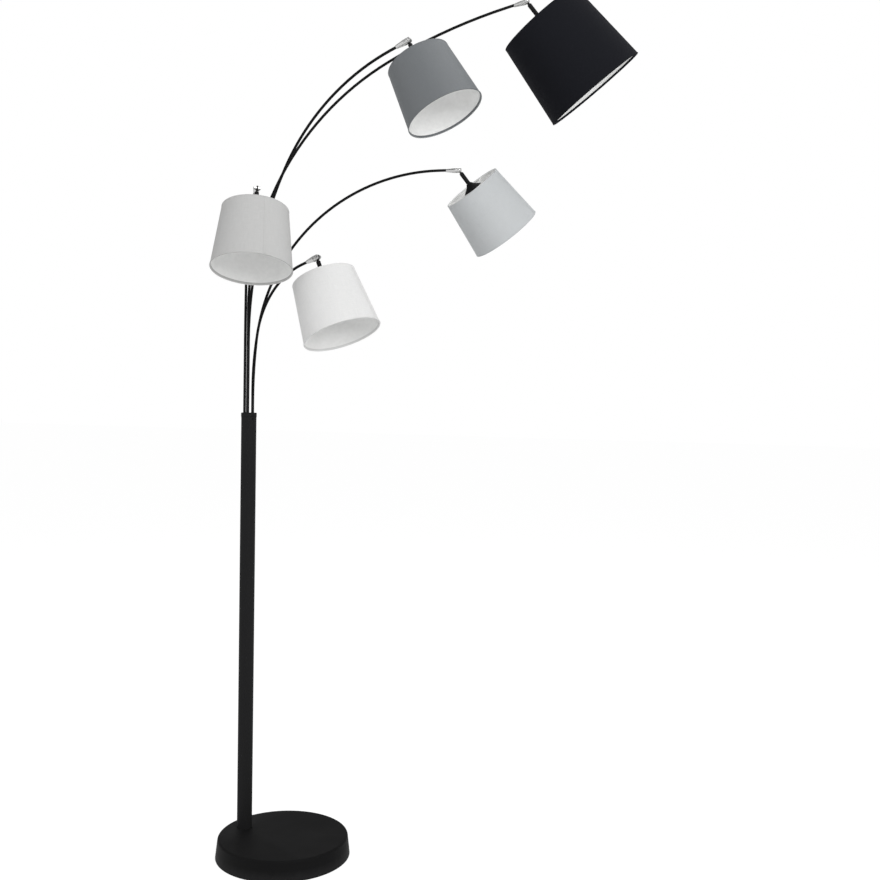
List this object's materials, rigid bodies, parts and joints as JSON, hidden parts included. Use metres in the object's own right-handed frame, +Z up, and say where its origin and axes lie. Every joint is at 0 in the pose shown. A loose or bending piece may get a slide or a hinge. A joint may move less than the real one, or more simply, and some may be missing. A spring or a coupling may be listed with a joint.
{
  "type": "tree floor lamp",
  "caption": "Floor lamp with a round weighted base, a straight pole and bent arms, each with a swivelling open drum shade.",
  "frame": {"origin": "centre of the base's underside, on the floor", "axes": "+Z up the pole; +X to the side that the arms lean to; the pole stands towards -X on the base"},
  "size_m": [0.8608, 0.6559, 1.9339],
  "materials": {
    "black_satin_metal": "satin black powder coat",
    "concrete": "poured concrete",
    "black_rubber": "matte",
    "steel": "zinc plated",
    "black_plastic": "matte",
    "chrome": "polished",
    "white_plastic": "matte",
    "white_wire": "white enamel",
    "black_fabric": "smooth fabric on a stiff white lining",
    "dark_grey_fabric": "smooth fabric on a stiff white lining",
    "light_grey_fabric": "smooth fabric on a stiff white lining",
    "white_fabric": "smooth fabric on a stiff white lining"
  },
  "bodies": {
    "root": {"base_cover": "black_satin_metal", "base_weight": "concrete", "base_pad": "black_rubber", "pole_stud": "steel", "base_fasteners": "steel", "cable_gland": "black_plastic", "pole_tube": "black_satin_metal", "foot_plug": "steel", "pole_hub": "black_satin_metal", "hub_screws": "black_satin_metal"},
    "arm_black": {"black_arm_tube": "black_satin_metal"},
    "swivel_black": {"black_joint_sleeve": "chrome", "black_joint_screw": "chrome"},
    "head_black": {"black_joint_tongue": "black_satin_metal", "black_stem": "black_satin_metal", "black_holder_cup": "black_satin_metal", "black_lamp_holder": "white_plastic", "black_holder_nut": "white_plastic", "black_shade_frame": "white_wire", "black_shade": "black_fabric"},
    "arm_dark_grey": {"dark_grey_arm_tube": "black_satin_metal"},
    "swivel_dark_grey": {"dark_grey_joint_sleeve": "chrome", "dark_grey_joint_screw": "chrome"},
    "head_dark_grey": {"dark_grey_joint_tongue": "black_satin_metal", "dark_grey_stem": "black_satin_metal", "dark_grey_holder_cup": "black_satin_metal", "dark_grey_lamp_holder": "white_plastic", "dark_grey_holder_nut": "white_plastic", "dark_grey_shade_frame": "white_wire", "dark_grey_shade": "dark_grey_fabric"},
    "arm_left_grey": {"left_grey_arm_tube": "black_satin_metal"},
    "swivel_left_grey": {"left_grey_joint_sleeve": "chrome", "left_grey_joint_screw": "chrome"},
    "head_left_grey": {"left_grey_joint_tongue": "black_satin_metal", "left_grey_stem": "black_satin_metal", "left_grey_holder_cup": "black_satin_metal", "left_grey_lamp_holder": "white_plastic", "left_grey_holder_nut": "white_plastic", "left_grey_shade_frame": "white_wire", "left_grey_shade": "light_grey_fabric"},
    "arm_right_grey": {"right_grey_arm_tube": "black_satin_metal"},
    "swivel_right_grey": {"right_grey_joint_sleeve": "chrome", "right_grey_joint_screw": "chrome"},
    "head_right_grey": {"right_grey_joint_tongue": "black_satin_metal", "right_grey_stem": "black_satin_metal", "right_grey_holder_cup": "black_satin_metal", "right_grey_lamp_holder": "white_plastic", "right_grey_holder_nut": "white_plastic", "right_grey_shade_frame": "white_wire", "right_grey_shade": "light_grey_fabric"},
    "arm_white": {"white_arm_tube": "black_satin_metal"},
    "swivel_white": {"white_joint_sleeve": "chrome", "white_joint_screw": "chrome"},
    "head_white": {"white_joint_tongue": "black_satin_metal", "white_stem": "black_satin_metal", "white_holder_cup": "black_satin_metal", "white_lamp_holder": "white_plastic", "white_holder_nut": "white_plastic", "white_shade_frame": "white_wire", "white_shade": "white_fabric"}
  },
  "joints": [
    {"name": "black_arm_swivel", "type": "hinge", "parent": "root", "child": "arm_black", "pos_m": [-0.11009, 0.00588, 0.94156], "axis": [0, 0, 1], "range_deg": [-40, 40]},
    {"name": "black_head_turn", "type": "hinge", "parent": "arm_black", "child": "swivel_black", "pos_m": [0.47469, 0.19251, 1.9064], "axis": [0.9091, 0.2901, 0.299], "range_deg": [-45, 45]},
    {"name": "black_head_tilt", "type": "hinge", "parent": "swivel_black", "child": "head_black", "pos_m": [0.47469, 0.19251, 1.9064], "axis": [-0.3407, 0.9307, 0.1328], "range_deg": [-67.4, 42.6]},
    {"name": "dark_grey_arm_swivel", "type": "hinge", "parent": "root", "child": "arm_dark_grey", "pos_m": [-0.09891, -0.00951, 0.94156], "axis": [0, 0, 1], "range_deg": [-35, 40]},
    {"name": "dark_grey_head_turn", "type": "hinge", "parent": "arm_dark_grey", "child": "swivel_dark_grey", "pos_m": [0.2801, -0.00488, 1.78044], "axis": [0.9271, 0.0113, 0.3746], "range_deg": [-45, 45]},
    {"name": "dark_grey_head_tilt", "type": "hinge", "parent": "swivel_dark_grey", "child": "head_dark_grey", "pos_m": [0.2801, -0.00488, 1.78044], "axis": [-0.0122, 0.9999, 0], "range_deg": [-83.5, 26.5]},
    {"name": "left_grey_arm_swivel", "type": "hinge", "parent": "root", "child": "arm_left_grey", "pos_m": [-0.11009, -0.00588, 0.94156], "axis": [0, 0, 1], "range_deg": [-50, 3]},
    {"name": "left_grey_head_turn", "type": "hinge", "parent": "arm_left_grey", "child": "swivel_left_grey", "pos_m": [0.00395, -0.1457, 1.46245], "axis": [0.6286, -0.7707, 0.1045], "range_deg": [-45, 3]},
    {"name": "left_grey_head_tilt", "type": "hinge", "parent": "swivel_left_grey", "child": "head_left_grey", "pos_m": [0.00395, -0.1457, 1.46245], "axis": [0.7778, 0.6226, -0.0867], "range_deg": [-80.2, 29.8]},
    {"name": "right_grey_arm_swivel", "type": "hinge", "parent": "root", "child": "arm_right_grey", "pos_m": [-0.09891, 0.00951, 0.94156], "axis": [0, 0, 1], "range_deg": [-40, 40]},
    {"name": "right_grey_head_turn", "type": "hinge", "parent": "arm_right_grey", "child": "swivel_right_grey", "pos_m": [0.31655, 0.20501, 1.55194], "axis": [0.9033, 0.4251, 0.0576], "range_deg": [-45, 45]},
    {"name": "right_grey_head_tilt", "type": "hinge", "parent": "swivel_right_grey", "child": "head_right_grey", "pos_m": [0.31655, 0.20501, 1.55194], "axis": [-0.4242, 0.8654, 0.2668], "range_deg": [-54, 56]},
    {"name": "white_arm_swivel", "type": "hinge", "parent": "root", "child": "arm_white", "pos_m": [-0.092, 0, 0.94156], "axis": [0, 0, 1], "range_deg": [-3, 50]},
    {"name": "white_head_turn", "type": "hinge", "parent": "arm_white", "child": "swivel_white", "pos_m": [0.0934, -0.0476, 1.32875], "axis": [0.9324, -0.2394, 0.2706], "range_deg": [-10, 45]},
    {"name": "white_head_tilt", "type": "hinge", "parent": "swivel_white", "child": "head_white", "pos_m": [0.0934, -0.0476, 1.32875], "axis": [0.2441, 0.9696, 0.0168], "range_deg": [-82, 28]}
  ]
}
